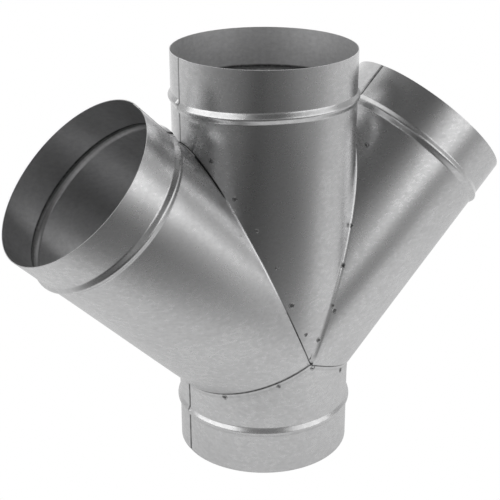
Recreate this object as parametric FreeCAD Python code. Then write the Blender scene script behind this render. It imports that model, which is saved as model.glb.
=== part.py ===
import FreeCAD, Part
import math
import os

# Four-way duct splitter: a base collar, a centre tube and two slanted branches,
# each rolled from galvanised sheet.  Millimetres and degrees.  The object stands
# on its base collar with the floor at z = 0, and the branches lean along X.

# Driving dimensions
tube_radius = 74.5        # outside of the centre tube and of both branches
collar_step = 1.5         # the base collar is this much narrower in radius
sheet = 0.6               # thickness of the sheet
overall_height = 346.0    # floor to the mouth of the centre tube
meeting_height = 98.0     # height where the four axes meet
branch_angle = 45.0       # lean of each branch from the centre line
branch_length = 236.0     # meeting point to the mouth of a branch

# Stiffening bead rolled round every tube
bead_height = 2.2         # how far the bead stands out
bead_width = 8.4          # foot to foot along the tube
crest_width = 2.8         # flat top of the bead
bead_margin = 0.6         # plain tube kept at each side of the bead
centre_bead = 36.5        # mouth to the middle of the bead
branch_bead = 35.0
collar_bead = 39.0

# Lap seam that closes every rolled tube
lap_width = 11.0          # how far the inner layer runs under the outer one
lap_clearance = 0.1       # between the two layers
seam_slit = 0.4           # open line beside the free edge of the outer layer
joggle_run = 3.0          # length of the step that takes the sheet inward
centre_seam = 178.0       # angles round each tube
collar_seam = 0.0
left_seam = -8.0
right_seam = 183.2

# Joints between the tubes
edge_gap = 0.3            # line left open between two sheets along a joint
bend_width = 0.9          # sheet bent round at the edge of a joint
tube_flange = 12.0        # flange of the left branch inside the centre tube
crotch_reach = 9.0        # how far that flange climbs in the crotch
collar_flange = 9.5       # flanges of both branches inside the base collar
seam_notch = 13.0         # half width of the notch that lets a lap seam pass
lip_width = 2.6           # lip of the centre tube over the right branch
lip_tip = 7.6             # width of that lip at its lower tip
lip_lean = 2.1            # the edge of the lip leans this much from the joint

# Derived values
far = 600.0               # reach of the cutting blocks
collar_radius = tube_radius - collar_step    # outside of the base collar
meeting_point = FreeCAD.Vector(0.0, 0.0, meeting_height)
upper_joint = 90.0 + branch_angle / 2.0      # plane between branch and centre tube
lower_joint = 180.0 + branch_angle / 2.0     # plane between branch and base collar
bead_half = bead_width / 2.0 + bead_margin


def polar(radius, angle):
    turn = math.radians(angle)
    return FreeCAD.Vector(radius * math.cos(turn), radius * math.sin(turn), 0.0)


def arc(radius, start, end):
    middle = (start + end) / 2.0
    return Part.Arc(polar(radius, start), polar(radius, middle), polar(radius, end)).toShape()


def degrees_along(length, radius):
    return math.degrees(length / radius)


# The rolled sheet seen from its end.  One edge dips inward by a sheet thickness
# and passes under the other edge, so the outside stays round.
def lapped_section(radius, seam):
    dip_end = seam + 360.0 - degrees_along(seam_slit, radius)
    dip_start = dip_end - degrees_along(joggle_run, radius)
    lap_end = seam + 360.0 + degrees_along(lap_width, radius)
    inner = radius - sheet
    under = inner - lap_clearance
    edges = [
        arc(radius, seam, dip_start),
        Part.makeLine(polar(radius, dip_start), polar(under, dip_end)),
        arc(under, dip_end, lap_end),
        Part.makeLine(polar(under, lap_end), polar(under - sheet, lap_end)),
        arc(under - sheet, lap_end, dip_end),
        Part.makeLine(polar(under - sheet, dip_end), polar(inner, dip_start)),
        arc(inner, dip_start, seam),
        Part.makeLine(polar(inner, seam), polar(radius, seam)),
    ]
    return Part.Face(Part.Wire(edges))


def lapped_length(radius, seam, start, end):
    section = lapped_section(radius, seam)
    section.translate(FreeCAD.Vector(0.0, 0.0, start))
    return section.extrude(FreeCAD.Vector(0.0, 0.0, end - start))


# Sheet pressed outward round the tube: two flanks and a flat crest.
def bead_ring(radius, height):
    foot, crest = bead_width / 2.0, crest_width / 2.0
    flank = math.atan2(bead_height, foot - crest)
    shift = sheet * math.tan(flank / 2.0)
    outline = [(0.0, -bead_half), (0.0, -foot), (bead_height, -crest),
               (bead_height, crest), (0.0, foot), (0.0, bead_half)]
    back = [(-sheet, bead_half), (-sheet, foot - shift), (bead_height - sheet, crest - shift),
            (bead_height - sheet, shift - crest), (-sheet, shift - foot), (-sheet, -bead_half)]
    corners = [FreeCAD.Vector(radius + out, 0.0, height + up) for out, up in outline + back]
    profile = Part.Face(Part.makePolygon(corners + corners[:1]))
    return profile.revolve(FreeCAD.Vector(0, 0, 0), FreeCAD.Vector(0, 0, 1), 360.0)


# A lapped tube along Z with its mouth at the top and one bead below the mouth.
def beaded_tube(radius, seam, start, mouth, bead_from_mouth):
    bead_at = mouth - bead_from_mouth
    below = lapped_length(radius, seam, start, bead_at - bead_half)
    above = lapped_length(radius, seam, bead_at + bead_half, mouth)
    return below.fuse([bead_ring(radius, bead_at), above]).removeSplitter()


def lean_over(shape, angle):
    shape.rotate(FreeCAD.Vector(0, 0, 0), FreeCAD.Vector(0, 1, 0), angle)
    shape.translate(meeting_point)
    return shape


def upright_cylinder(radius):
    return Part.makeCylinder(radius, 2.0 * far, FreeCAD.Vector(0, 0, -far))


def branch_cylinder(radius, angle):
    return lean_over(upright_cylinder(radius), angle)


def ring(outer, inner):
    return upright_cylinder(outer).cut(upright_cylinder(inner))


# Everything beyond a plane that holds the Y direction.  The plane runs at an
# angle in the XZ view, through the meeting point or moved along its normal.
def beyond(angle, offset=0.0, start=meeting_point):
    block = Part.makeBox(2.0 * far, 2.0 * far, far, FreeCAD.Vector(-far, -far, offset))
    block.rotate(FreeCAD.Vector(0, 0, 0), FreeCAD.Vector(0, 1, 0), -angle)
    block.translate(start)
    return block


def keep_inside(shape, limits):
    for limit in limits:
        shape = shape.common(limit)
    return shape


def notch(seam):
    block = Part.makeBox(far, 2.0 * seam_notch, 2.0 * far,
                         FreeCAD.Vector(0.0, -seam_notch, -far))
    block.rotate(FreeCAD.Vector(0, 0, 0), FreeCAD.Vector(0, 0, 1), seam)
    return block


# Sheet bent round along a joint: it closes the edge of a branch down to the
# flange inside the tube next to it.
def bent_edge(angle, joint, other_joint, inside_radius):
    strip = branch_cylinder(tube_radius, angle).cut(upright_cylinder(inside_radius))
    strip = keep_inside(strip, (beyond(joint), beyond(other_joint)))
    return strip.cut(beyond(joint, bend_width))


def flange_in_collar(joint, angle, other_joint):
    inside = collar_radius - 2.0 * sheet
    flange = ring(collar_radius - sheet, inside)
    flange = flange.common(beyond(joint + 180.0)).cut(beyond(joint + 180.0, collar_flange))
    return flange, bent_edge(angle, joint, other_joint, inside)


def left_of_centre():
    return beyond(90.0, edge_gap / 2.0)


def right_of_centre():
    return beyond(270.0, edge_gap / 2.0)


def left_branch():
    angle = -branch_angle
    sides = (beyond(upper_joint), beyond(lower_joint - 180.0))
    wall = lean_over(beaded_tube(tube_radius, left_seam, 0.0, branch_length, branch_bead), angle)
    wall = keep_inside(wall, sides)
    flange_inside = tube_radius - 2.0 * sheet
    flange = ring(tube_radius - sheet, flange_inside)
    flange = keep_inside(flange, (beyond(upper_joint + 180.0),
                                  beyond(180.0 - upper_joint, edge_gap),
                                  branch_cylinder(tube_radius + crotch_reach, angle)))
    flange = flange.cut(beyond(upper_joint + 180.0, tube_flange)).cut(notch(centre_seam))
    edge = bent_edge(angle, upper_joint, lower_joint - 180.0, flange_inside)
    foot, foot_edge = flange_in_collar(lower_joint - 180.0, angle, upper_joint)
    foot = foot.common(left_of_centre()).cut(notch(180.0 - collar_seam))
    whole = wall.fuse([edge, flange, foot_edge, foot])
    return whole.cut(right_of_centre().common(beyond(180.0))).removeSplitter()


def right_branch():
    upper, lower = 360.0 - upper_joint, 540.0 - lower_joint
    start = bend_width + edge_gap
    wall = lean_over(beaded_tube(tube_radius, right_seam, 0.0, branch_length, branch_bead),
                     branch_angle)
    wall = keep_inside(wall, (beyond(upper, start), beyond(lower)))
    foot, foot_edge = flange_in_collar(lower, branch_angle, upper)
    foot = foot.common(right_of_centre())
    foot_edge = foot_edge.common(beyond(upper, start))
    return wall.fuse([foot_edge, foot]).removeSplitter()


def centre_tube():
    upper, lower = 360.0 - upper_joint, 540.0 - lower_joint
    wall = beaded_tube(tube_radius, centre_seam, meeting_height - 1.0, overall_height, centre_bead)
    wall = keep_inside(wall, (beyond(upper + 180.0), beyond(upper_joint + 180.0, edge_gap)))
    over = branch_cylinder(tube_radius + sheet, branch_angle)
    bend = over.cut(upright_cylinder(tube_radius - sheet))
    bend = bend.cut(beyond(upper, bend_width))
    lip_edge = beyond(upper + lip_lean, 0.0,
                      meeting_point + FreeCAD.Vector(lip_tip, 0.0, 0.0))
    lip = over.cut(branch_cylinder(tube_radius, branch_angle))
    lip = lip.cut(lip_edge.common(beyond(upper, lip_width)))
    cover = bend.fuse(lip)
    cover = keep_inside(cover, (beyond(upper), beyond(lower, edge_gap)))
    return wall.fuse(cover).removeSplitter()


def base_collar():
    tube = beaded_tube(collar_radius, collar_seam, 0.0, meeting_height, collar_bead)
    tube.rotate(FreeCAD.Vector(0, 0, 0), FreeCAD.Vector(0, 1, 0), 180.0)
    tube.translate(meeting_point)
    return keep_inside(tube, (beyond(lower_joint, edge_gap),
                              beyond(360.0 - lower_joint, edge_gap)))


os.makedirs("parts", exist_ok=True)
pieces = {
    "base_collar": base_collar,
    "centre_tube": centre_tube,
    "left_branch": left_branch,
    "right_branch": right_branch,
}
for name, build in pieces.items():
    shape = build()
    box = shape.BoundBox
    print(name, shape.ShapeType, "solids", len(shape.Solids), "valid", shape.isValid(),
          "volume", round(shape.Volume, 1),
          "box", [round(v, 2) for v in (box.XMin, box.YMin, box.ZMin, box.XMax, box.YMax, box.ZMax)])
    shape.exportStep("parts/" + name + ".step")
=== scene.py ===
import bmesh
import bpy
import math
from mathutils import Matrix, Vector


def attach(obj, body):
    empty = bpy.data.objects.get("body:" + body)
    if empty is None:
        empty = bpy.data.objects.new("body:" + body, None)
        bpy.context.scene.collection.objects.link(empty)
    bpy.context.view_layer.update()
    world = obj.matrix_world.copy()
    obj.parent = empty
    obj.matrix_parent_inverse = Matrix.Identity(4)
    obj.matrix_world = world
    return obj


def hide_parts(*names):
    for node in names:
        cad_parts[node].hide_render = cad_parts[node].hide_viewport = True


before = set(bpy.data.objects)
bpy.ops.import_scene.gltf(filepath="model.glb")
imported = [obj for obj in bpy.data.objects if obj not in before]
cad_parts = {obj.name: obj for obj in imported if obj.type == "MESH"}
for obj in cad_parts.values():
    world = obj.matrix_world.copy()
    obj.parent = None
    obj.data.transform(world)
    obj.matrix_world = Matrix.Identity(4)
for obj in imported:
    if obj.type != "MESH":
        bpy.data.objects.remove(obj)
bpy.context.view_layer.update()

print("frame loaded")

millimetre = 0.001      # in metres

# Sizes shared by all four tubes, in millimetres and degrees.
duct = {
    "tubeRadius": 74.5,
    "collarRadius": 73.0,
    "sheet": 0.6,
    "height": 346.0,
    "meetingHeight": 98.0,
    "branchLean": 45.0,
    "branchLength": 236.0,
    "beadHeight": 2.2,
    "beadHalf": 4.8,        # middle of the bead to its foot
    "crestRadius": 2.2,
    "footRadius": 1.8,
    "edgeGap": 0.3,
    "layerGap": 0.05,       # between a flange and the tube round it
    "turnStep": 1.25,       # between the columns of a tube
    "sharpAngle": 32.0,     # edges that turn more than this stay crisp
}

meeting = Vector((0.0, 0.0, duct["meetingHeight"]))
lean = math.radians(duct["branchLean"])
halfLean = lean / 2.0
steep = 1.0 / math.tan(halfLean)      # rise of the joint beside the centre tube
shallow = math.tan(halfLean)          # fall of the joint above the collar


def smoothStep(low, high, value):
    part = min(max((value - low) / (high - low), 0.0), 1.0)
    return part * part * (3.0 - 2.0 * part)


def fadeOut(low, high, value):
    return 1.0 - smoothStep(low, high, value)


def band(rise, fall, value):
    # 1 between two soft edges and 0 outside them
    return smoothStep(*rise, value) * fadeOut(*fall, value)


def flankAngle():
    # slope of the bead's straight flanks between its rounded crest and feet, found by halving
    rounding = duct["crestRadius"] + duct["footRadius"]
    low, high = 0.0, math.radians(80.0)
    for _ in range(40):
        angle = (low + high) / 2.0
        reached = (rounding * (1.0 - math.cos(angle))
                   + (duct["beadHalf"] - rounding * math.sin(angle)) * math.tan(angle))
        low, high = (angle, high) if reached < duct["beadHeight"] else (low, angle)
    return low


beadFlank = flankAngle()


def beadRise(distance):
    # how far the bead stands out at this distance from its middle
    away = abs(distance)
    crest, foot = duct["crestRadius"], duct["footRadius"]
    if away <= crest * math.sin(beadFlank):
        return duct["beadHeight"] - crest + math.sqrt(crest ** 2 - away ** 2)
    side = duct["beadHalf"] - away
    if side <= 0.0:
        return 0.0
    if side <= foot * math.sin(beadFlank):
        return foot - math.sqrt(foot ** 2 - side ** 2)
    return foot * (1.0 - math.cos(beadFlank)) + (side - foot * math.sin(beadFlank)) * math.tan(beadFlank)


# A tube's own axes: X and Y across it, and along it to its mouth.
class TubeAxes:
    def __init__(self, start, across, along):
        self.start = start
        self.across = across
        self.side = Vector((0.0, 1.0, 0.0))
        self.along = along

    def point(self, radius, turn, distance):
        angle = math.radians(turn)
        return (self.start + self.across * (radius * math.cos(angle))
                + self.side * (radius * math.sin(angle)) + self.along * distance)

    def reachPlane(self, normal, radius, turn, offset):
        # distance along the tube where its wall stands this far from a joint plane
        angle = math.radians(turn)
        beside = (self.across.dot(normal) * math.cos(angle)
                  + self.side.dot(normal) * math.sin(angle)) * radius
        return (offset - (self.start - meeting).dot(normal) - beside) / self.along.dot(normal)

    def outward(self, point):
        # from the middle line of the tube to a point
        away = point - self.start
        return away - self.along * away.dot(self.along)


leftAxes = TubeAxes(meeting, Vector((math.cos(lean), 0.0, math.sin(lean))),
                    Vector((-math.sin(lean), 0.0, math.cos(lean))))
rightAxes = TubeAxes(meeting, Vector((math.cos(lean), 0.0, -math.sin(lean))),
                     Vector((math.sin(lean), 0.0, math.cos(lean))))
centreAxes = TubeAxes(Vector((0.0, 0.0, 0.0)), Vector((1.0, 0.0, 0.0)), Vector((0.0, 0.0, 1.0)))
collarAxes = TubeAxes(meeting, Vector((1.0, 0.0, 0.0)), Vector((0.0, 0.0, -1.0)))

# Normals of the four joint planes, each pointing to the branch.
cosHalf, sinHalf = math.cos(halfLean), math.sin(halfLean)
upperLeft = Vector((-cosHalf, 0.0, -sinHalf))
upperRight = Vector((cosHalf, 0.0, -sinHalf))
lowerLeft = Vector((-sinHalf, 0.0, cosHalf))
lowerRight = Vector((sinHalf, 0.0, cosHalf))

# The lap seam that closes each rolled tube. Pairs are where a change starts and ends.
lapSeam = {
    "lapWidth": 11.0,
    "slit": 0.4,
    "joggle": 2.6,          # length of the step that takes the sheet inward
    "clearance": 0.1,
    "flatSpot": 0.28,       # how much flatter the sheet is beside its seam
    "flatReach": 17.0,
    "shadeCore": 0.35,      # share of the painted shadow line's width that is darkest
    "shadeEnds": (0.6, 2.2),
    "edgeShade": 0.45,      # width of the shade along the free edge
    "pinch": 0.55,          # share of its height that the bead loses in the step
    "pinchStarts": (1.5, 0.8),      # before the step and before its end
    "pinchEnds": (0.5, 3.0),
    "proud": 0.14,          # and how much higher it is at the free edge
    "proudEnds": (0.8, 3.4),
    "closeColumns": (0.0, 0.25, 0.6),   # degrees past the free edge
    "evenFrom": 0.9,        # the even columns come after this
    "evenEnds": 0.3,        # and stop this far before the step
    "dipColumns": 8,
    "lapColumns": 7,
}


def seamTurns(seam, radius):
    # columns round the tube: close together at the seam, even elsewhere
    perMm = math.degrees(1.0 / radius)
    step = duct["turnStep"]
    endOfDip = seam + 360.0 - lapSeam["slit"] * perMm
    startOfDip = endOfDip - lapSeam["joggle"] * perMm
    endOfLap = seam + 360.0 + lapSeam["lapWidth"] * perMm
    turns = [seam + past for past in lapSeam["closeColumns"]]
    turn = (math.floor((seam + lapSeam["evenFrom"]) / step) + 1) * step
    while turn < startOfDip - lapSeam["evenEnds"]:
        turns.append(turn)
        turn += step
    columns = lapSeam["dipColumns"]
    turns += [startOfDip + (endOfDip - startOfDip) * k / columns for k in range(columns + 1)]
    columns = lapSeam["lapColumns"]
    turns += [endOfDip + (endOfLap - endOfDip) * k / columns for k in range(1, columns + 1)]
    return turns


def pastEdge(turn, seam, radius):
    # millimetres round the tube from its free edge
    return (turn - seam) * math.radians(1.0) * radius


def pastDip(turn, seam, radius):
    # millimetres past the end of the step, where the sheet is under its free edge
    return (turn - seam - 360.0) * math.radians(1.0) * radius + lapSeam["slit"]


def seamOffset(turn, seam, radius):
    # the sheet dips by its own thickness where it passes under its other edge
    dip = smoothStep(-lapSeam["joggle"], 0.0, pastDip(turn, seam, radius))
    away = pastEdge(turn, seam, radius)
    away = min(away, abs(away - math.tau * radius))
    flat = lapSeam["flatSpot"] * fadeOut(0.0, lapSeam["flatReach"], away)
    return -dip * (duct["sheet"] + lapSeam["clearance"]) - flat * (1.0 - dip)


def seamDarkness(turn, seam, radius, width):
    # painted shadow in the open line beside the free edge, and a painted shade strip along the free edge
    under = band((-width, -lapSeam["shadeCore"] * width), lapSeam["shadeEnds"], pastDip(turn, seam, radius))
    return max(under, fadeOut(0.0, lapSeam["edgeShade"], pastEdge(turn, seam, radius)))


def beadAtSeam(turn, seam, radius):
    # the bead is pinched flat in the step beside the seam and stands up at the free edge
    outer, inner = lapSeam["pinchStarts"]
    pinch = band((-lapSeam["joggle"] - outer, -inner), lapSeam["pinchEnds"], pastDip(turn, seam, radius))
    proud = fadeOut(*lapSeam["proudEnds"], pastEdge(turn, seam, radius))
    return 1.0 - lapSeam["pinch"] * pinch + lapSeam["proud"] * proud


# Three waves leave a hand rolled sheet slightly uneven: height, waves round the tube,
# length along it and how much the seed shifts them.
rolling = {
    "slow": (0.10, 2.0, 61.0, 1.3),
    "middle": (0.07, 5.0, 37.0, 2.1),
    "fine": (0.035, 9.0, 23.0, 0.7),
}


def handRolled(turn, along, seed):
    angle = math.radians(turn)
    high, waves, length, shift = rolling["slow"]
    lift = high * math.sin(waves * angle + shift * seed) * math.sin(along / length + seed)
    high, waves, length, shift = rolling["middle"]
    lift += high * math.sin(waves * angle + shift * seed + along / length)
    high, waves, length, shift = rolling["fine"]
    return lift + high * math.sin(waves * angle - along / length + shift * seed)


# Painted shade in the hollow back of a bead, on its inner skin, most of it on the side of the mouth.
beadBack = {
    "hollowShade": 0.42,
    "hollowShadeStarts": (-3.0, -1.4),
    "hollowShadeEnds": (2.0, 2.6),
    "flankShade": 0.8,
    "edgeStarts": (1.9, 2.6),
    "edgeEnds": (4.2, 5.0),
}


def grooveShade(distance):
    middle = beadBack["hollowShade"] * band(beadBack["hollowShadeStarts"], beadBack["hollowShadeEnds"], distance)
    return max(middle, beadBack["flankShade"] * band(beadBack["edgeStarts"], beadBack["edgeEnds"], distance))


def placeInScene(name, data):
    made = bpy.data.objects.new(name, data)
    bpy.context.scene.collection.objects.link(made)
    return made


def bakeDown(piece):
    shaped = bpy.data.meshes.new_from_object(piece.evaluated_get(bpy.context.evaluated_depsgraph_get()))
    shaped.name = piece.name
    piece.modifiers.clear()
    piece.data = shaped
    shaped.shade_smooth()
    shaped.set_sharp_from_angle(angle=math.radians(duct["sharpAngle"]))
    return piece


def addGrid(points, faces, rows):
    # rows of (place, mark) become quads
    numbers = []
    for row in rows:
        numbers.append(list(range(len(points), len(points) + len(row))))
        points.extend(row)
    for lower, upper in zip(numbers, numbers[1:]):
        for k in range(len(lower) - 1):
            faces.append((lower[k], lower[k + 1], upper[k + 1], upper[k]))


innerShadeShare = 0.25       # share of the outer painted shade and grime that the inner skin takes


def sheetPiece(name, points, faces, axes, dullInside):
    # a skin of points is merged, faced outwards and given the sheet's thickness
    mesh = bpy.data.meshes.new(name)
    mesh.from_pydata([place * millimetre for place, mark in points], [], faces)
    crevice = mesh.attributes.new("crevice", "FLOAT", "POINT")
    crevice.data.foreach_set("value", [mark for place, mark in points])
    piece = placeInScene(name, mesh)
    work = bmesh.new()
    work.from_mesh(mesh)
    bmesh.ops.remove_doubles(work, verts=work.verts, dist=0.01 * millimetre)
    bmesh.ops.recalc_face_normals(work, faces=work.faces)
    facingOut = 0
    for face in work.faces:
        outward = axes.outward(face.calc_center_median() / millimetre)
        facingOut += 1 if outward.dot(face.normal) > 0.0 else -1
    if facingOut < 0:
        bmesh.ops.reverse_faces(work, faces=work.faces)
    work.to_mesh(mesh)
    work.free()
    thick = piece.modifiers.new("sheetThickness", "SOLIDIFY")
    thick.thickness = duct["sheet"] * millimetre
    thick.offset = -1.0
    skinPoints = len(mesh.vertices)
    bakeDown(piece)
    # a mark above zero is painted shade and grime, below zero painted shade on the inner skin only, and below
    # -1 a painted glint on the outer skin only
    for number, mark in enumerate(piece.data.attributes["crevice"].data):
        outer = number < skinPoints
        if mark.value < -1.0:
            mark.value = mark.value + 1.0 if outer else 0.0
        elif outer:
            mark.value = max(0.0, mark.value)
        else:
            mark.value = -mark.value if mark.value < 0.0 else innerShadeShare * mark.value
    inside = piece.data.attributes.new("dullInside", "FLOAT", "POINT")
    inside.data.foreach_set("value", [0.0 if number < skinPoints else dullInside
                                      for number in range(len(piece.data.vertices))])
    return piece


# Rows of a wall: close at the joint, even to the bead, close over the bead and even
# again to the mouth.
rowPlan = {
    "fromJoint": (0.0, 0.12, 0.3, 0.5, 0.8, 1.2, 1.7, 2.3, 3.1, 4.2),
    "beadReach": 6.0,       # middle of the bead to where its close rows end
    "beadRows": 26,
    "spigotRows": 9,
    "unevenStarts": (0.0, 0.15),    # shares of the way from joint to bead
    "unevenEnds": (0.9, 1.0),
    "spigotUneven": 0.5,
    "cleanBelow": 0.1,      # marks fainter than this leave room for the painted shade in the bead's hollow
}


def wallRows(axes, radius, mouth, made, planes, jointMark, rise=None, sag=None):
    # the wall's columns round the tube, and its rows from the joint planes to the mouth
    turns = seamTurns(made["seam"], radius)
    bend, reach = made["bend"], rowPlan["beadReach"]
    rows = []

    def beadMiddle(turn):
        return mouth - made["beadFromMouth"] - (sag(turn) if sag else 0.0)

    def startAt(turn, offset):
        return max(axes.reachPlane(normal, radius, turn, offset + extra) for normal, extra in planes)

    def place(turn, along, uneven, inward=0.0, joint=0.0):
        bead = beadRise(along - beadMiddle(turn)) * beadAtSeam(turn, made["seam"], radius)
        lift = seamOffset(turn, made["seam"], radius) + bead + uneven * handRolled(turn, along, made["seed"])
        if rise:
            lift += rise(turn, along)
        mark = max(joint, seamDarkness(turn, made["seam"], radius, made["seamDark"]))
        if joint < 0.0:
            mark = joint - 1.0
        elif mark < rowPlan["cleanBelow"]:
            mark = -grooveShade(along - beadMiddle(turn))
        return axes.point(radius + lift - inward, turn, along), mark

    for offset in rowPlan["fromJoint"]:
        inward = bend - math.sqrt(bend ** 2 - max(bend - offset, 0.0) ** 2)
        rows.append([place(t, startAt(t, offset), 0.0, inward, jointMark(t, offset)) for t in turns])
    starts = [startAt(t, rowPlan["fromJoint"][-1]) for t in turns]
    for k in range(1, made["bodyRows"] + 1):
        share = k / made["bodyRows"]
        uneven = band(rowPlan["unevenStarts"], rowPlan["unevenEnds"], share)
        rows.append([place(t, start + (beadMiddle(t) - reach - start) * share, uneven)
                     for t, start in zip(turns, starts)])
    for k in range(1, rowPlan["beadRows"] + 1):
        over = 2.0 * reach * k / rowPlan["beadRows"]
        rows.append([place(t, beadMiddle(t) - reach + over, 0.0) for t in turns])
    for k in range(1, rowPlan["spigotRows"] + 1):
        share = k / rowPlan["spigotRows"]
        uneven = rowPlan["spigotUneven"] * math.sin(math.pi * share)
        rows.append([place(t, mouth - (mouth - beadMiddle(t) - reach) * (1.0 - share), uneven)
                     for t in turns])
    return turns, rows


flangeSteps = (0.0, 0.04, 0.12, 0.55, 1.0)      # shares of a flange's width
flangeMarks = (1.0, 0.8, 0.0, 0.0, 0.0)         # how much of the edge's mark each step keeps


def flangeStrip(points, faces, edgeRow, turns, wanted, columnFor):
    # a flange goes on from the bent edge of the wall, column by column
    runs = [[]]
    for turn, edge in zip(turns, edgeRow):
        if wanted(turn):
            column = [(place, share * edge[1]) for place, share in zip(columnFor(turn), flangeMarks)]
            runs[-1].append([edge] + column)
        elif runs[-1]:
            runs.append([])
    for run in runs:
        if len(run) > 1:
            addGrid(points, faces, run)


def onTube(radius, edge, heightAt):
    # the point of an upright tube in the same direction as the edge
    turn = math.atan2(edge.y, edge.x)
    x, y = radius * math.cos(turn), radius * math.sin(turn)
    return Vector((x, y, heightAt(x)))


def collarFlange(axes, plane, slope, width):
    # the column of a branch's flange inside the base collar, from the joint down
    inCollar = duct["collarRadius"] - duct["sheet"] - duct["layerGap"]

    def column(turn):
        edge = axes.point(duct["tubeRadius"], turn, axes.reachPlane(plane, duct["tubeRadius"], turn, 0.0))
        foot = onTube(inCollar, edge, lambda x: meeting.z + slope * x)
        return [foot - Vector((0.0, 0.0, width * share)) for share in flangeSteps]

    return column


def turnedIn(turn):
    return (turn + 180.0) % 360.0 - 180.0


# Left branch: one flange goes inside the centre tube and one inside the collar.
leftBranch = {
    "seam": -9.5,
    "seamDark": 1.5,        # width of the painted shadow line beside the seam
    "seed": 1.0,
    "bodyRows": 40,
    "beadFromMouth": 35.0,
    "bend": 0.8,
    "flare": 0.42,          # the edge beside the centre tube opens out a little
    "flareReach": 4.0,
    "tubeFlange": 12.0,
    "crotchReach": 12.7,
    "crotchClimb": 34.0,    # how much further that flange climbs away from the crotch
    "collarFlange": 10.3,
    "notch": 12.0,          # degrees left free on both sides of a seam
    "flangesApart": 0.2,    # degrees between each flange and the corner
    "collarDark": (0.5, 2.3),       # where the line of painted shade and grime along each joint fades
    "centreDark": (0.1, 0.8),
    "glintStarts": (31.0, 39.0),    # degrees from the crotch where its joint has a painted glint instead of painted shade
    "glintEnds": (66.0, 80.0),
    "glintEdge": (0.9, 1.8),         # where the painted glint along the edge there fades
    "tipFaint": 0.75,       # how much the painted shade line pales at the lower tip
    "tipStarts": (82.0, 87.0),
    "dullInside": 0.03,     # how much rougher the inner skin is
}


def glintMiddle(fromCrotch):
    # the joint with the left branch has a painted glint instead of painted shade in its middle
    return band(leftBranch["glintStarts"], leftBranch["glintEnds"], fromCrotch)


def makeLeftBranch():
    made = leftBranch
    radius = duct["tubeRadius"]

    def jointMark(turn, offset):
        # painted shade and grime along the joints, and a painted glint on the bent edge in the middle of the
        # joint with the centre tube
        around = abs(turnedIn(turn))
        if around > 90.0:
            return fadeOut(*made["collarDark"], offset)
        glinting = glintMiddle(around)
        if glinting > 0.5:
            return (1.0 - 2.0 * glinting) * fadeOut(*made["glintEdge"], offset)
        faint = 1.0 - made["tipFaint"] * smoothStep(*made["tipStarts"], around)
        return faint * (1.0 - glinting) * fadeOut(*made["centreDark"], offset)

    def edgeFlare(turn, along):
        fromEdge = along - leftAxes.reachPlane(upperLeft, radius, turn, 0.0)
        left = max(0.0, 1.0 - fromEdge / made["flareReach"])
        return made["flare"] * left ** 2 * glintMiddle(abs(turnedIn(turn)))

    def insideTube(turn):
        edge = leftAxes.point(radius, turn, leftAxes.reachPlane(upperLeft, radius, turn, 0.0))
        foot = onTube(radius - duct["sheet"] - duct["layerGap"], edge, lambda x: meeting.z - steep * x)
        fromCrotch = 1.0 - abs(foot.x) / radius
        climb = min(made["tubeFlange"] / sinHalf, made["crotchReach"] + made["crotchClimb"] * fromCrotch)
        return [foot + Vector((0.0, 0.0, climb * share)) for share in flangeSteps]

    turns, rows = wallRows(leftAxes, radius, duct["branchLength"], made,
                           ((upperLeft, 0.0), (lowerLeft, 0.0)), jointMark, rise=edgeFlare)
    points, faces = [], []
    addGrid(points, faces, rows)
    notch, apart = made["notch"], made["flangesApart"]
    flangeStrip(points, faces, rows[0], turns,
                lambda t: notch < abs(turnedIn(t)) < 90.0 - apart, insideTube)
    flangeStrip(points, faces, rows[0], turns,
                lambda t: 90.0 + apart < abs(turnedIn(t)) < 180.0 - notch,
                collarFlange(leftAxes, lowerLeft, shallow, made["collarFlange"]))
    return sheetPiece("leftBranchSheet", points, faces, leftAxes, made["dullInside"])


# Right branch: its upper edge lies under the lip of the centre tube.
rightBranch = {
    "seam": 183.2,
    "seamDark": 1.5,
    "seed": 2.6,
    "bodyRows": 40,
    "beadFromMouth": 35.0,
    "bend": 0.7,
    "underLip": 1.2,        # from the joint plane to the edge under the lip
    "collarFlange": 10.3,
    "flangeReach": 88.0,    # degrees on both sides of its lowest line
    "jointDark": 0.8,
    "darkWidth": (0.2, 0.8),
    "dullInside": 0.14,
}


def makeRightBranch():
    made = rightBranch

    def jointMark(turn, offset):
        # painted shade and grime along the joint under the lip
        if abs(turnedIn(turn)) > 90.0:
            return 0.0
        return made["jointDark"] * fadeOut(*made["darkWidth"], offset)

    turns, rows = wallRows(rightAxes, duct["tubeRadius"], duct["branchLength"], made,
                           ((upperRight, made["underLip"]), (lowerRight, 0.0)), jointMark)
    points, faces = [], []
    addGrid(points, faces, rows)
    flangeStrip(points, faces, rows[0], turns,
                lambda t: abs(turnedIn(t)) < made["flangeReach"],
                collarFlange(rightAxes, lowerRight, -shallow, made["collarFlange"]))
    return sheetPiece("rightBranchSheet", points, faces, rightAxes, made["dullInside"])


# Centre tube: a cut edge beside the left branch, a lip over the right branch.
centreTube = {
    "seam": 178.0,
    "seamDark": 1.5,
    "seed": 4.2,
    "bodyRows": 40,
    "beadFromMouth": 36.5,
    "bend": 0.0,
    "beadSag": 3.0,         # the bead lies this much lower beside the seam
    "sagReach": 72.0,       # and is back in place this many degrees on
    "jointDark": (0.1, 0.5),
    "lipWidth": 2.6,
    "lipTip": 7.6,
    "lipLean": 2.1,         # degrees between the edge of the lip and the joint
    "lipBend": 6.2,         # length of the soft bend along the branch
    "lipOver": 0.06,        # from the branch to the lip
    "leastLip": 0.05,
    "flatExtra": 0.02,      # keeps the flat part behind the bend from vanishing
    "flatRows": (0.3, 0.6),         # shares of that flat part
    "cutRow": 0.4,          # share of the painted shade line at the cut edge
    "bendRows": 8,
    "tipColumns": 4,        # close columns past the middle, half a degree apart
    "tipStep": 0.5,
    "cutDark": 0.8,
    "cutWidth": 0.45,       # width of the painted shade line at the cut edge of the lip
    "dullInside": 0.27,
}


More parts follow.
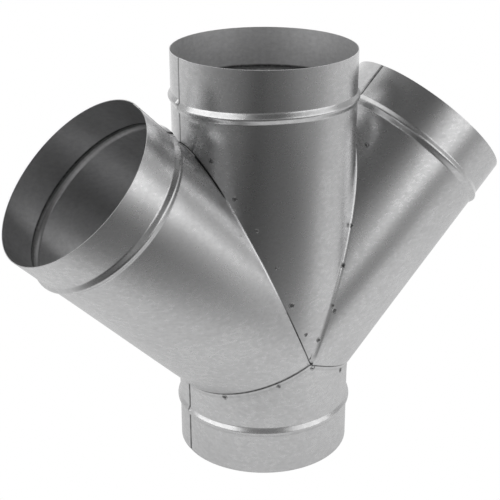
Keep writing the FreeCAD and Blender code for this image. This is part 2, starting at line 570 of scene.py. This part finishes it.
def lipColumn(around, lipNormal, lipStart):
    # a soft bend from the wall over the joint, then flat on the branch to the edge
    made = centreTube
    radius, gap, over = duct["tubeRadius"], duct["edgeGap"], duct["sheet"] + made["lipOver"]
    branchTurn = 180.0 - around
    low = rightAxes.reachPlane(upperRight, radius, branchTurn, 0.0)
    floorLine = rightAxes.reachPlane(lowerRight, radius, branchTurn, gap)
    narrow = rightAxes.reachPlane(upperRight, radius, branchTurn, made["lipWidth"])
    across = rightAxes.across.dot(lipNormal) * math.cos(math.radians(branchTurn)) * radius
    wide = ((lipStart - meeting).dot(lipNormal) - across) / rightAxes.along.dot(lipNormal)
    start = max(low, floorLine)
    end = max(narrow, wide, start + made["leastLip"])
    wallFoot = max(centreAxes.reachPlane(-upperLeft, radius, around, gap),
                   centreAxes.reachPlane(-upperRight, radius, around, made["lipWidth"]))
    top = centreAxes.point(radius, around, wallFoot)
    corner = rightAxes.point(radius, branchTurn, start)
    bendEnd = min(end, start + made["lipBend"])
    landing = rightAxes.point(radius + over, branchTurn, bendEnd)
    column = []
    for k in range(made["bendRows"]):
        share = k / (made["bendRows"] - 1)
        place = top * (1.0 - share) ** 2 + corner * (2.0 * share * (1.0 - share)) + landing * share ** 2
        column.append((place, 0.0))
    rest = end - bendEnd + made["flatExtra"]
    near, middle = made["flatRows"]
    last = min(made["cutWidth"], rest * near)
    for along in (rest * near, rest * middle, rest - last, rest - made["cutRow"] * last, rest):
        # the last row takes a painted shade line at the cut edge
        dark = made["cutDark"] if along == rest else 0.0
        column.append((rightAxes.point(radius + over, branchTurn, bendEnd + along), dark))
    return column


def makeCentreTube():
    made = centreTube
    radius, step = duct["tubeRadius"], duct["turnStep"]

    def jointMark(turn, offset):
        # painted shade and grime along the joint with the left branch, left out where the glint is painted
        around = abs(turnedIn(turn))
        if around < 90.0:
            return 0.0
        return (1.0 - glintMiddle(180.0 - around)) * fadeOut(*made["jointDark"], offset)

    def beadSag(turn):
        # the bead starts a little low at the seam; the sheet under it follows in the step
        fromSeam = turn - made["seam"]
        if fromSeam < 180.0:
            return made["beadSag"] * max(0.0, 1.0 - fromSeam / made["sagReach"])
        return made["beadSag"] * smoothStep(-lapSeam["joggle"], 0.0, pastDip(turn, made["seam"], radius))

    turns, rows = wallRows(centreAxes, radius, duct["height"], made,
                           ((-upperLeft, duct["edgeGap"]), (-upperRight, made["lipWidth"])),
                           jointMark, sag=beadSag)
    points, faces = [], []
    addGrid(points, faces, rows)
    # the lip goes on from the wall over the right branch
    leanAngle = math.radians(90.0 - duct["branchLean"] / 2.0 + made["lipLean"])
    lipNormal = Vector((math.sin(leanAngle), 0.0, -math.cos(leanAngle)))
    lipStart = meeting + Vector((made["lipTip"], 0.0, 0.0))
    tip = [90.0 + made["tipStep"] * k for k in range(made["tipColumns"], 0, -1)]
    middle = [90.0 - step * k for k in range(int(180.0 / step) + 1)]
    allAround = tip + middle + [-around for around in reversed(tip)]
    addGrid(points, faces, [lipColumn(around, lipNormal, lipStart) for around in allAround])
    return sheetPiece("centreTubeSheet", points, faces, centreAxes, made["dullInside"])


# Base collar: stands on its mouth; its upper edge is cut to a low ridge.
baseCollar = {
    "seam": 180.0,
    "seamDark": 2.6,
    "seed": 6.1,
    "bodyRows": 20,
    "beadFromMouth": 39.0,
    "bend": 0.0,
    "jointGap": (0.7, 0.45),        # below the left and the right branch
    "jointDark": (0.1, 1.0),
    "rightDark": 0.75,      # how dark the painted shade line under the right branch is
    "stepDark": 0.14,       # a faint painted shade line where the pressed edge ends
    "stepStarts": (1.7, 2.6),
    "stepEnds": (2.9, 4.0),
    "edgeShows": 0.16,      # the pressed edge stands out a little
    "edgeEnds": (2.2, 3.6),
    "flangeShows": 0.12,    # the flange inside shows as a faint step outside
    "flangeEnds": (9.0, 11.4),
    "dullInside": 0.14,
}


def makeBaseCollar():
    made = baseCollar
    radius = duct["collarRadius"]

    def jointMark(turn, offset):
        # painted shade and grime under both branches, and a faint painted shade line below it
        step = made["stepDark"] * band(made["stepStarts"], made["stepEnds"], offset)
        depth = 1.0 if math.cos(math.radians(turn)) < 0.0 else made["rightDark"]
        return max(depth * fadeOut(*made["jointDark"], offset), step)

    def edgeStep(turn, along):
        below = along - max(collarAxes.reachPlane(-lowerLeft, radius, turn, 0.0),
                            collarAxes.reachPlane(-lowerRight, radius, turn, 0.0))
        return (made["edgeShows"] * fadeOut(*made["edgeEnds"], below)
                + made["flangeShows"] * fadeOut(*made["flangeEnds"], below))

    underLeft, underRight = made["jointGap"]
    turns, rows = wallRows(collarAxes, radius, duct["meetingHeight"], made,
                           ((-lowerLeft, underLeft), (-lowerRight, underRight)), jointMark, rise=edgeStep)
    points, faces = [], []
    addGrid(points, faces, rows)
    return sheetPiece("baseCollarSheet", points, faces, collarAxes, made["dullInside"])


leftPiece = makeLeftBranch()
rightPiece = makeRightBranch()
centrePiece = makeCentreTube()
collarPiece = makeBaseCollar()
print("four sheets made", [len(p.data.polygons) for p in (leftPiece, rightPiece, centrePiece, collarPiece)])


def addNode(tree, kind, **values):
    node = tree.nodes.new(kind)
    for name, value in values.items():
        setattr(node, name, value)
    return node


def mathNode(tree, operation, first, second):
    node = addNode(tree, "ShaderNodeMath", operation=operation)
    for number, value in enumerate((first, second)):
        if isinstance(value, (int, float)):
            node.inputs[number].default_value = value
        else:
            tree.links.new(value, node.inputs[number])
    return node.outputs[0]


# Spot welds: shallow pits with a raised rim, where each flange is held. A row gives
# degrees round the tube and millimetres along it, and stands at the front and the back.
spotWelds = {
    "pitRadius": 1.2,
    "rimRadius": 1.7,
    "rim": 0.14,
    "spread": 0.22,         # how much the welds differ in size
    "seed": 7,
    "pitDepth": 0.05,
    "corners": (22, 8),     # round the weld and round its rim
    "standOff": 0.06,       # above the sheet of the collar
    "centreRow": ((154.0, 272.7), (138.4, 245.0), (125.3, 220.3), (113.1, 189.1), (103.8, 155.3),
                  (93.8, 126.8)),
    "lipRow": ((126.0, 109.3), (115.0, 79.7), (104.0, 49.0), (101.3, 46.3), (97.3, 20.0)),
    "branchRow": ((149.4, 170.1),),
    "collarRow": ((146.9, 29.0), (111.3, 15.2), (87.6, 4.0), (57.8, 21.6), (30.0, 33.2)),
    "rimTones": (0.16, 0.72),
    "rimMetal": 1.0,
    "pitTones": (0.02, 0.30),
    "pitMetal": 0.6,
    "roughness": 0.5,
    "burnSize": 0.0014,     # metres
    "burnRange": (0.35, 0.68),
}
# inputs of the tree that makes the welds: name, kind and value
weldInputs = (
    ("Pit Radius", "NodeSocketFloat", spotWelds["pitRadius"]),
    ("Rim Radius", "NodeSocketFloat", spotWelds["rimRadius"]),
    ("Rim Height", "NodeSocketFloat", spotWelds["rim"]),
    ("Size Spread", "NodeSocketFloat", spotWelds["spread"]),
    ("Seed", "NodeSocketInt", spotWelds["seed"]),
)


def weldPlaces():
    # axes, outside radius, degrees round the tube and millimetres along it of each weld
    overLip = duct["tubeRadius"] + duct["sheet"] + centreTube["lipOver"]
    overCollar = duct["collarRadius"] + baseCollar["flangeShows"] + spotWelds["standOff"]
    rows = ((centreAxes, duct["tubeRadius"], "centreRow"), (rightAxes, overLip, "lipRow"),
            (rightAxes, duct["tubeRadius"], "branchRow"), (collarAxes, overCollar, "collarRow"))
    return [(axes, radius, side * turn, along)
            for side in (-1.0, 1.0) for axes, radius, row in rows for turn, along in spotWelds[row]]


def weldTree(rimFinish, pitFinish):
    # one weld on every point, turned to face out of the sheet
    tree = bpy.data.node_groups.new("spotWeldRow", "GeometryNodeTree")
    tree.interface.new_socket("Geometry", in_out="INPUT", socket_type="NodeSocketGeometry")
    settings = {}
    for name, kind, value in weldInputs:
        socket = tree.interface.new_socket(name, in_out="INPUT", socket_type=kind)
        settings[socket.identifier] = value
    tree.interface.new_socket("Geometry", in_out="OUTPUT", socket_type="NodeSocketGeometry")
    given = addNode(tree, "NodeGroupInput").outputs
    link = tree.links.new
    roundWeld, roundRim = spotWelds["corners"]

    # rim: a small round profile swept round a circle and pressed flat
    path = addNode(tree, "GeometryNodeCurvePrimitiveCircle")
    path.inputs["Resolution"].default_value = roundWeld
    link(given["Rim Radius"], path.inputs["Radius"])
    profile = addNode(tree, "GeometryNodeCurvePrimitiveCircle")
    profile.inputs["Resolution"].default_value = roundRim
    rimWidth = mathNode(tree, "SUBTRACT", given["Rim Radius"], given["Pit Radius"])
    link(rimWidth, profile.inputs["Radius"])
    sweep = addNode(tree, "GeometryNodeCurveToMesh")
    link(path.outputs["Curve"], sweep.inputs["Curve"])
    link(profile.outputs["Curve"], sweep.inputs["Profile Curve"])
    squeeze = addNode(tree, "ShaderNodeCombineXYZ")
    squeeze.inputs["X"].default_value = 1.0
    squeeze.inputs["Y"].default_value = 1.0
    link(mathNode(tree, "DIVIDE", given["Rim Height"], rimWidth), squeeze.inputs["Z"])
    flatten = addNode(tree, "GeometryNodeTransform")
    link(sweep.outputs["Mesh"], flatten.inputs["Geometry"])
    link(squeeze.outputs["Vector"], flatten.inputs["Scale"])
    # pit: a thin disc, marked so that it gets its own finish
    pit = addNode(tree, "GeometryNodeMeshCylinder")
    pit.inputs["Vertices"].default_value = roundWeld
    pit.inputs["Depth"].default_value = spotWelds["pitDepth"]
    link(given["Rim Radius"], pit.inputs["Radius"])
    markPit = addNode(tree, "GeometryNodeStoreNamedAttribute", data_type="BOOLEAN", domain="FACE")
    markPit.inputs["Name"].default_value = "weldPit"
    markPit.inputs["Value"].default_value = True
    link(pit.outputs["Mesh"], markPit.inputs["Geometry"])
    weld = addNode(tree, "GeometryNodeJoinGeometry")
    link(flatten.outputs["Geometry"], weld.inputs["Geometry"])
    link(markPit.outputs["Geometry"], weld.inputs["Geometry"])

    facing = addNode(tree, "GeometryNodeInputNamedAttribute", data_type="FLOAT_VECTOR")
    facing.inputs["Name"].default_value = "facing"
    turnOut = addNode(tree, "FunctionNodeAlignRotationToVector", axis="Z")
    link(facing.outputs["Attribute"], turnOut.inputs["Vector"])
    sizes = addNode(tree, "FunctionNodeRandomValue", data_type="FLOAT")
    link(mathNode(tree, "SUBTRACT", 1.0, given["Size Spread"]), sizes.inputs[2])
    link(mathNode(tree, "ADD", 1.0, given["Size Spread"]), sizes.inputs[3])
    link(given["Seed"], sizes.inputs["Seed"])
    spots = addNode(tree, "GeometryNodeInstanceOnPoints")
    link(given["Geometry"], spots.inputs["Points"])
    link(weld.outputs["Geometry"], spots.inputs["Instance"])
    link(turnOut.outputs["Rotation"], spots.inputs["Rotation"])
    link(mathNode(tree, "MULTIPLY", sizes.outputs[1], millimetre), spots.inputs["Scale"])
    realize = addNode(tree, "GeometryNodeRealizeInstances")
    link(spots.outputs["Instances"], realize.inputs["Geometry"])

    inPit = addNode(tree, "GeometryNodeInputNamedAttribute", data_type="BOOLEAN")
    inPit.inputs["Name"].default_value = "weldPit"
    dressed = realize
    for look, where in ((rimFinish, None), (pitFinish, inPit.outputs["Attribute"])):
        dress = addNode(tree, "GeometryNodeSetMaterial")
        dress.inputs["Material"].default_value = look
        link(dressed.outputs["Geometry"], dress.inputs["Geometry"])
        if where:
            link(where, dress.inputs["Selection"])
        dressed = dress
    link(dressed.outputs["Geometry"], addNode(tree, "NodeGroupOutput").inputs["Geometry"])
    return tree, settings


def makeSpotWelds(rimFinish, pitFinish):
    spots, facings = [], []
    for axes, radius, turn, along in weldPlaces():
        spot = axes.point(radius, turn, along)
        spots.append(spot * millimetre)
        facings.append((spot - axes.point(0.0, turn, along)).normalized())
    mesh = bpy.data.meshes.new("spotWelds")
    mesh.from_pydata(spots, [], [])
    facing = mesh.attributes.new("facing", "FLOAT_VECTOR", "POINT")
    facing.data.foreach_set("vector", [part for direction in facings for part in direction])
    piece = placeInScene("spotWelds", mesh)
    tree, settings = weldTree(rimFinish, pitFinish)
    modifier = piece.modifiers.new("spotWeldRow", "NODES")
    modifier.node_group = tree
    for identifier, value in settings.items():
        modifier[identifier] = value
    return bakeDown(piece)


# Galvanised sheet: a satin zinc coat, faintly mottled, with painted shade and grime in its joints and seams
# and a painted glint along part of one joint. Tones go from 0 to 1, sizes are in metres.
galvanised = {
    "light": 0.74,
    "dull": 0.61,
    "stain": 0.40,
    "rub": 0.46,
    # colour of the painted shade and grime in seams, joints and bead hollows
    "crevice": 0.045,
    # colour of the painted glint along the bent edge of the left joint
    "paintedGlint": 0.99,
    "metallic": 0.94,
    "roughness": (0.26, 0.31),
    "markRoughness": 0.3,
    "toneRange": (0.32, 0.68),      # of the mottling, from dull to light
    "roughRange": (0.36, 0.64),     # and from rough to smooth
    "mottle": (0.0026, 0.52),       # size and share of each part of the mottling
    "cloud": (0.05, 0.38),
    "crystal": (0.00234, 0.10),
    "rolledOut": (0.55, 0.55, 1.0),
    "spots": (0.0042, 0.76, 0.80, 0.5),     # size, where they start and end, strength
    "rubs": (0.012, 0.73, 0.78, 0.2),
    "rubbedAlong": (1.0, 2.6, 3.4),
    "ragged": (0.003, 0.25, 0.6, 0.72),     # size, start, end and least painted shade and grime
    "grain": (0.0026, 0.018, 0.0004),       # size, strength and depth
    "grainAlong": (0.7, 0.7, 1.2),
    "wave": (0.03, 0.08, 0.001),
}
zincBlue = 1.006        # zinc is a touch blue


def grey(level):
    return (level, level, level * zincBlue, 1.0)


def noiseOn(tree, where, size, detail, stretch=None):
    # noise with patches of about this size, on the piece's own coordinates
    noise = addNode(tree, "ShaderNodeTexNoise")
    noise.inputs["Scale"].default_value = 1.0 / size
    noise.inputs["Detail"].default_value = detail
    source = where.outputs["Object"]
    if stretch:
        squash = addNode(tree, "ShaderNodeMapping")
        squash.inputs["Scale"].default_value = stretch
        tree.links.new(source, squash.inputs["Vector"])
        source = squash.outputs["Vector"]
    tree.links.new(source, noise.inputs["Vector"])
    return noise.outputs["Fac"]


def mapRange(tree, value, low, high, toLow, toHigh):
    ramp = addNode(tree, "ShaderNodeMapRange")
    for name, number in (("From Min", low), ("From Max", high), ("To Min", toLow), ("To Max", toHigh)):
        ramp.inputs[name].default_value = number
    tree.links.new(value, ramp.inputs["Value"])
    return ramp.outputs["Result"]


def mixColour(tree, factor, first, second):
    mix = addNode(tree, "ShaderNodeMix", data_type="RGBA")
    tree.links.new(factor, mix.inputs["Factor"])
    for name, value in (("A", first), ("B", second)):
        if isinstance(value, tuple):
            mix.inputs[name].default_value = value
        else:
            tree.links.new(value, mix.inputs[name])
    return mix.outputs["Result"]


def emptyFinish(name):
    finish = bpy.data.materials.new(name)
    finish.use_nodes = True
    return finish, finish.node_tree, finish.node_tree.nodes["Principled BSDF"]


def unevenness(tree, where, made, detail, stretch=None):
    size, strength, depth = made
    bump = addNode(tree, "ShaderNodeBump")
    bump.inputs["Strength"].default_value = strength
    bump.inputs["Distance"].default_value = depth
    tree.links.new(noiseOn(tree, where, size, detail, stretch), bump.inputs["Height"])
    return bump


def galvanisedFinish(name, made):
    finish, tree, shader = emptyFinish(name)
    link = tree.links.new
    shader.inputs["Metallic"].default_value = made["metallic"]
    where = addNode(tree, "ShaderNodeTexCoord")
    # fine mottling drawn out sideways by the rolls, over larger clouds
    mottle = noiseOn(tree, where, made["mottle"][0], 2.0, made["rolledOut"])
    cloud = noiseOn(tree, where, made["cloud"][0], 4.0)
    crystals = addNode(tree, "ShaderNodeTexVoronoi", feature="F1")
    crystals.inputs["Scale"].default_value = 1.0 / made["crystal"][0]
    link(where.outputs["Object"], crystals.inputs["Vector"])
    crystal = addNode(tree, "ShaderNodeSeparateColor")
    link(crystals.outputs["Color"], crystal.inputs["Color"])
    clouded = mathNode(tree, "ADD", mathNode(tree, "MULTIPLY", cloud, made["cloud"][1]),
                       mathNode(tree, "MULTIPLY", crystal.outputs["Red"], made["crystal"][1]))
    patch = mathNode(tree, "ADD", mathNode(tree, "MULTIPLY", mottle, made["mottle"][1]), clouded)
    tone = mixColour(tree, mapRange(tree, patch, *made["toneRange"], 0.0, 1.0),
                     grey(made["dull"]), grey(made["light"]))
    # a few small dull spots and short rubbed marks
    size, low, high, strength = made["spots"]
    spots = mapRange(tree, noiseOn(tree, where, size, 2.0), low, high, 0.0, strength)
    tone = mixColour(tree, spots, tone, grey(made["stain"]))
    size, low, high, strength = made["rubs"]
    rubbed = mapRange(tree, noiseOn(tree, where, size, 1.0, made["rubbedAlong"]), low, high, 0.0, strength)
    tone = mixColour(tree, rubbed, tone, grey(made["rub"]))
    # painted shadow, shade and grime in seams, joints and bead hollows, and the painted glint on one joint
    # edge
    crevice = addNode(tree, "ShaderNodeAttribute", attribute_name="crevice").outputs["Fac"]
    size, low, high, least = made["ragged"]
    ragged = mapRange(tree, noiseOn(tree, where, size, 2.0), low, high, least, 1.0)
    dark = mathNode(tree, "MULTIPLY", mathNode(tree, "MAXIMUM", crevice, 0.0), ragged)
    tone = mixColour(tree, dark, tone, grey(made["crevice"]))
    tone = mixColour(tree, mapRange(tree, crevice, 0.0, -1.0, 0.0, 1.0), tone, grey(made["paintedGlint"]))
    link(tone, shader.inputs["Base Color"])
    smooth, rough = made["roughness"]
    roughness = mapRange(tree, patch, *made["roughRange"], rough, smooth)
    inside = addNode(tree, "ShaderNodeAttribute", attribute_name="dullInside").outputs["Fac"]
    roughness = mathNode(tree, "ADD", roughness, inside)
    markedRough = mathNode(tree, "MULTIPLY", dark, made["markRoughness"])
    link(mathNode(tree, "ADD", roughness, markedRough), shader.inputs["Roughness"])
    # rolling grain and a soft unevenness
    grain = unevenness(tree, where, made["grain"], 0.0, made["grainAlong"])
    wave = unevenness(tree, where, made["wave"], 2.0)
    link(grain.outputs["Normal"], wave.inputs["Normal"])
    link(wave.outputs["Normal"], shader.inputs["Normal"])
    return finish


def weldFinish(name, tones, metallic):
    finish, tree, shader = emptyFinish(name)
    shader.inputs["Metallic"].default_value = metallic
    shader.inputs["Roughness"].default_value = spotWelds["roughness"]
    where = addNode(tree, "ShaderNodeTexCoord")
    burn = mapRange(tree, noiseOn(tree, where, spotWelds["burnSize"], 3.0), *spotWelds["burnRange"], 0.0, 1.0)
    tree.links.new(mixColour(tree, burn, grey(tones[0]), grey(tones[1])), shader.inputs["Base Color"])
    return finish


zincCoat = galvanisedFinish("galvanisedSheet", galvanised)
weldPiece = makeSpotWelds(weldFinish("weldRim", spotWelds["rimTones"], spotWelds["rimMetal"]),
                          weldFinish("weldPit", spotWelds["pitTones"], spotWelds["pitMetal"]))
for piece, node in ((leftPiece, "left_branch"), (rightPiece, "right_branch"),
                    (centrePiece, "centre_tube"), (collarPiece, "base_collar")):
    piece.data.materials.append(zincCoat)
    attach(piece, "root")
    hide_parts(node)
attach(weldPiece, "root")
print("finishes and welds made")


# Studio: a white table and backdrop, a darker room on the viewer's side, a soft box at
# each side and a dim one above. Reflections see the table and the room in these
# brightnesses, 1 being white; the camera sees plain white. Distances are in metres.
studio = {
    "roomReach": 6.0,
    # brightness of the table at each distance toward the viewer, and the same far aside
    "tableMiddle": ((-1.0, 1.0), (-0.5, 0.88), (-0.25, 0.68), (0.0, 0.73), (0.17, 0.71), (0.24, 0.48),
                    (0.31, 0.25), (0.38, 0.16), (0.55, 0.1), (0.75, 0.08), (1.0, 0.08)),
    "tableSides": ((-1.0, 0.72), (0.0, 0.58), (0.2, 0.5), (0.34, 0.38), (0.56, 0.3), (0.8, 0.22),
                   (2.0, 0.22)),
    "sideShift": 0.06,
    "sideRange": (0.34, 0.95),
    # a shade before the object on the viewer's left
    "shade": 0.65,
    "shadeForward": (0.28, 0.42),
    "shadeAside": (0.15, -0.15),
    # the object's own soft painted shadow, and painted shade on the table inside the collar
    "shadow": 0.88,
    "shadowRange": (0.08, 0.22),
    "inCollar": 0.1,
    "collarRange": (0.0722, 0.0735),
    # brightness of the room from the far side (-1) to the viewer's side (1)
    "walls": ((-1.0, 1.0), (-0.85, 0.85), (-0.55, 0.45), (0.0, 0.42), (0.5, 0.3), (1.0, 0.27)),
    "ceiling": ((-1.0, 1.0), (-0.6, 1.0), (-0.45, 0.68), (-0.3, 0.32), (-0.15, 0.13), (1.0, 0.13)),
    "ceilingRange": (0.35, 0.62),   # where walls turn into ceiling; 1 is straight up
    # a box's turn goes from the viewer's side to the viewer's right
    "rightBox": {"turn": 62.0, "height": 0.95, "distance": 2.0, "width": 2.2, "tall": 1.7, "light": 0.92},
    "leftBox": {"turn": -68.0, "height": 1.3, "distance": 2.0, "width": 3.0, "tall": 1.8, "light": 1.25},
    "topBox": {"turn": 180.0, "height": 2.4, "distance": 0.5, "width": 1.6, "tall": 1.6, "light": 0.4},
    "boxAim": 0.2,          # height that the boxes point at
}
towardViewer = Vector((-0.507, -0.862, 0.0)).normalized()
viewerRight = Vector((0.862, -0.507, 0.0)).normalized()


def levelCurve(tree, value, stops):
    # a brightness that follows these (value, brightness) stops
    ramp = addNode(tree, "ShaderNodeFloatCurve")
    points = ramp.mapping.curves[0].points
    low, high = stops[0][0], stops[-1][0]
    while len(points) < len(stops):
        points.new(0.5, 0.5)
    for point, (at, level) in zip(points, stops):
        point.location = ((at - low) / (high - low), level)
    ramp.mapping.update()
    tree.links.new(mapRange(tree, value, low, high, 0.0, 1.0), ramp.inputs["Value"])
    return ramp.outputs["Value"]


def alongDirection(tree, position, direction):
    dot = addNode(tree, "ShaderNodeVectorMath", operation="DOT_PRODUCT")
    tree.links.new(position, dot.inputs[0])
    dot.inputs[1].default_value = direction
    return dot.outputs["Value"]


def blend(tree, share, first, second):
    # first where the share is 0, second where it is 1
    kept = mathNode(tree, "MULTIPLY", first, mathNode(tree, "SUBTRACT", 1.0, share))
    return mathNode(tree, "ADD", kept, mathNode(tree, "MULTIPLY", second, share))


def tableLevel(tree, position):
    # painted light and shade that the glowing table shows to reflections: bright under and behind the object,
    # dark before it, lit again far to each side
    forward = alongDirection(tree, position, towardViewer)
    right = alongDirection(tree, position, viewerRight)
    middle = levelCurve(tree, forward, studio["tableMiddle"])
    shade = mathNode(tree, "MULTIPLY", mapRange(tree, forward, *studio["shadeForward"], 0.0, 1.0),
                     mapRange(tree, right, *studio["shadeAside"], 0.0, studio["shade"]))
    middle = mathNode(tree, "MULTIPLY", middle, mathNode(tree, "SUBTRACT", 1.0, shade))
    aside = mathNode(tree, "ABSOLUTE", mathNode(tree, "SUBTRACT", right, studio["sideShift"]), 0.0)
    level = blend(tree, mapRange(tree, aside, *studio["sideRange"], 0.0, 1.0),
                  middle, levelCurve(tree, forward, studio["tableSides"]))
    away = addNode(tree, "ShaderNodeVectorMath", operation="LENGTH")
    tree.links.new(position, away.inputs[0])
    for least, reach in ((studio["shadow"], "shadowRange"), (studio["inCollar"], "collarRange")):
        level = mathNode(tree, "MULTIPLY", level,
                         mapRange(tree, away.outputs["Value"], *studio[reach], least, 1.0))
    return level


def roomLevel(tree, position):
    unit = addNode(tree, "ShaderNodeVectorMath", operation="NORMALIZE")
    tree.links.new(position, unit.inputs[0])
    direction = unit.outputs["Vector"]
    forward = alongDirection(tree, direction, towardViewer)
    up = alongDirection(tree, direction, (0.0, 0.0, 1.0))
    return blend(tree, mapRange(tree, up, *studio["ceilingRange"], 0.0, 1.0),
                 levelCurve(tree, forward, studio["walls"]), levelCurve(tree, forward, studio["ceiling"]))


def glowing(name, whiteToCamera, levelFrom):
    finish, tree, shader = emptyFinish(name)
    link = tree.links.new
    tree.nodes.remove(shader)
    glow = addNode(tree, "ShaderNodeEmission")
    link(levelFrom(tree, addNode(tree, "ShaderNodeTexCoord").outputs["Object"]), glow.inputs["Strength"])
    surface = glow.outputs["Emission"]
    if whiteToCamera:
        white = addNode(tree, "ShaderNodeEmission")
        white.inputs["Strength"].default_value = 1.0
        paths = addNode(tree, "ShaderNodeLightPath")
        mix = addNode(tree, "ShaderNodeMixShader")
        link(paths.outputs["Is Camera Ray"], mix.inputs["Fac"])
        link(surface, mix.inputs[1])
        link(white.outputs["Emission"], mix.inputs[2])
        surface = mix.outputs["Shader"]
    link(surface, tree.nodes["Material Output"].inputs["Surface"])
    return finish


reach = studio["roomReach"]
tableCorners = [(-reach, -reach, 0.0), (reach, -reach, 0.0), (reach, reach, 0.0), (-reach, reach, 0.0)]
tableMesh = bpy.data.meshes.new("table")
tableMesh.from_pydata(tableCorners, [], [(0, 1, 2, 3)])
tableMesh.materials.append(glowing("whiteTable", True, tableLevel))
table = placeInScene("table", tableMesh)
sphere = bmesh.new()
bmesh.ops.create_uvsphere(sphere, u_segments=48, v_segments=24, radius=reach)
roomMesh = bpy.data.meshes.new("room")
sphere.to_mesh(roomMesh)
sphere.free()
roomMesh.materials.append(glowing("roomWalls", False, roomLevel))
room = placeInScene("room", roomMesh)
room.visible_camera = False
room.visible_shadow = False

world = bpy.data.worlds.new("whiteWorld")
bpy.context.scene.world = world
world.use_nodes = True
world.node_tree.nodes["Background"].inputs["Color"].default_value = (1.0, 1.0, 1.0, 1.0)
world.node_tree.nodes["Background"].inputs["Strength"].default_value = 1.0


def softBox(name):
    made = studio[name]
    angle = math.radians(made["turn"])
    place = (towardViewer * math.cos(angle) + viewerRight * math.sin(angle)) * made["distance"]
    place.z = made["height"]
    lamp = bpy.data.lights.new(name, "AREA")
    lamp.shape = "RECTANGLE"
    lamp.size = made["width"]
    lamp.size_y = made["tall"]
    lamp.energy = made["light"] * math.pi * made["width"] * made["tall"]
    box = placeInScene(name, lamp)
    box.location = place
    box.rotation_euler = (Vector((0.0, 0.0, studio["boxAim"])) - place).to_track_quat("-Z", "Y").to_euler()


for name in ("rightBox", "leftBox", "topBox"):
    softBox(name)

# Camera at the photo's angle: metres, degrees of roll, and lens and sensor in millimetres.
viewer = {
    "place": (-0.46710, -0.77184, 0.55558),
    "aim": (-0.00991, 0.00583, 0.17304),
    "roll": -0.152,
    "lens": 83.73,
    "sensor": 36.0,
    "nearest": 0.01,
}
cameraData = bpy.data.cameras.new("viewer")
cameraData.sensor_width = viewer["sensor"]
cameraData.lens = viewer["lens"]
cameraData.clip_start = viewer["nearest"]
camera = placeInScene("viewer", cameraData)
camera.location = viewer["place"]
looking = (Vector(viewer["aim"]) - Vector(viewer["place"])).to_track_quat("-Z", "Y")
camera.rotation_euler = looking.to_euler()
camera.rotation_euler.rotate_axis("Z", math.radians(viewer["roll"]))
bpy.context.scene.camera = camera
bpy.context.scene.view_settings.view_transform = "Standard"
print("studio and camera ready")
